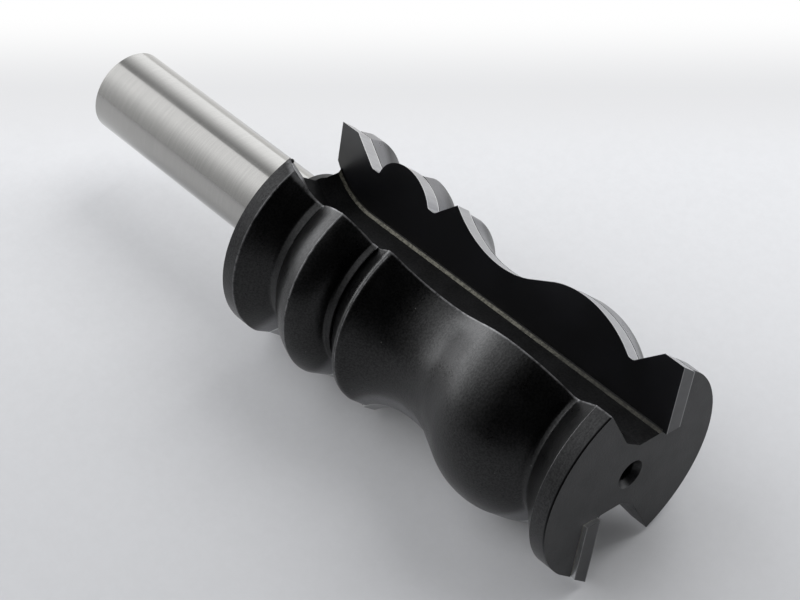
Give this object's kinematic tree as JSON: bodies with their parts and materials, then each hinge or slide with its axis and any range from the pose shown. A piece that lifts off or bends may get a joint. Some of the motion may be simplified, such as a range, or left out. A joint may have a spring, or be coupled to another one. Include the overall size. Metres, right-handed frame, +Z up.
{
  "type": "router bit",
  "caption": "Carbide-tipped moulding router bit with a long edge profile, brazed blades, open chip gullets and a plain round shank.",
  "frame": {"origin": "on the tool's axis at the shoulder, where the shank leaves the head", "axes": "+X along the axis towards the cutting end, +Z up with the bit lying on its side, on one blade's edge and the other wing's heels"},
  "size_m": [0.1027, 0.0312, 0.0298],
  "materials": {
    "coated_steel": "satin black coating on the head, ground bright steel on the shank",
    "ground_carbide": "bright ground carbide on the flanks, black coating on the rake face",
    "braze": "dull olive grey braze metal"
  },
  "bodies": {
    "root": {"steel_body": "coated_steel", "carbide_blade_a": "ground_carbide", "carbide_blade_b": "ground_carbide", "braze_seam_a": "braze", "braze_seam_b": "braze"}
  },
  "joints": []
}
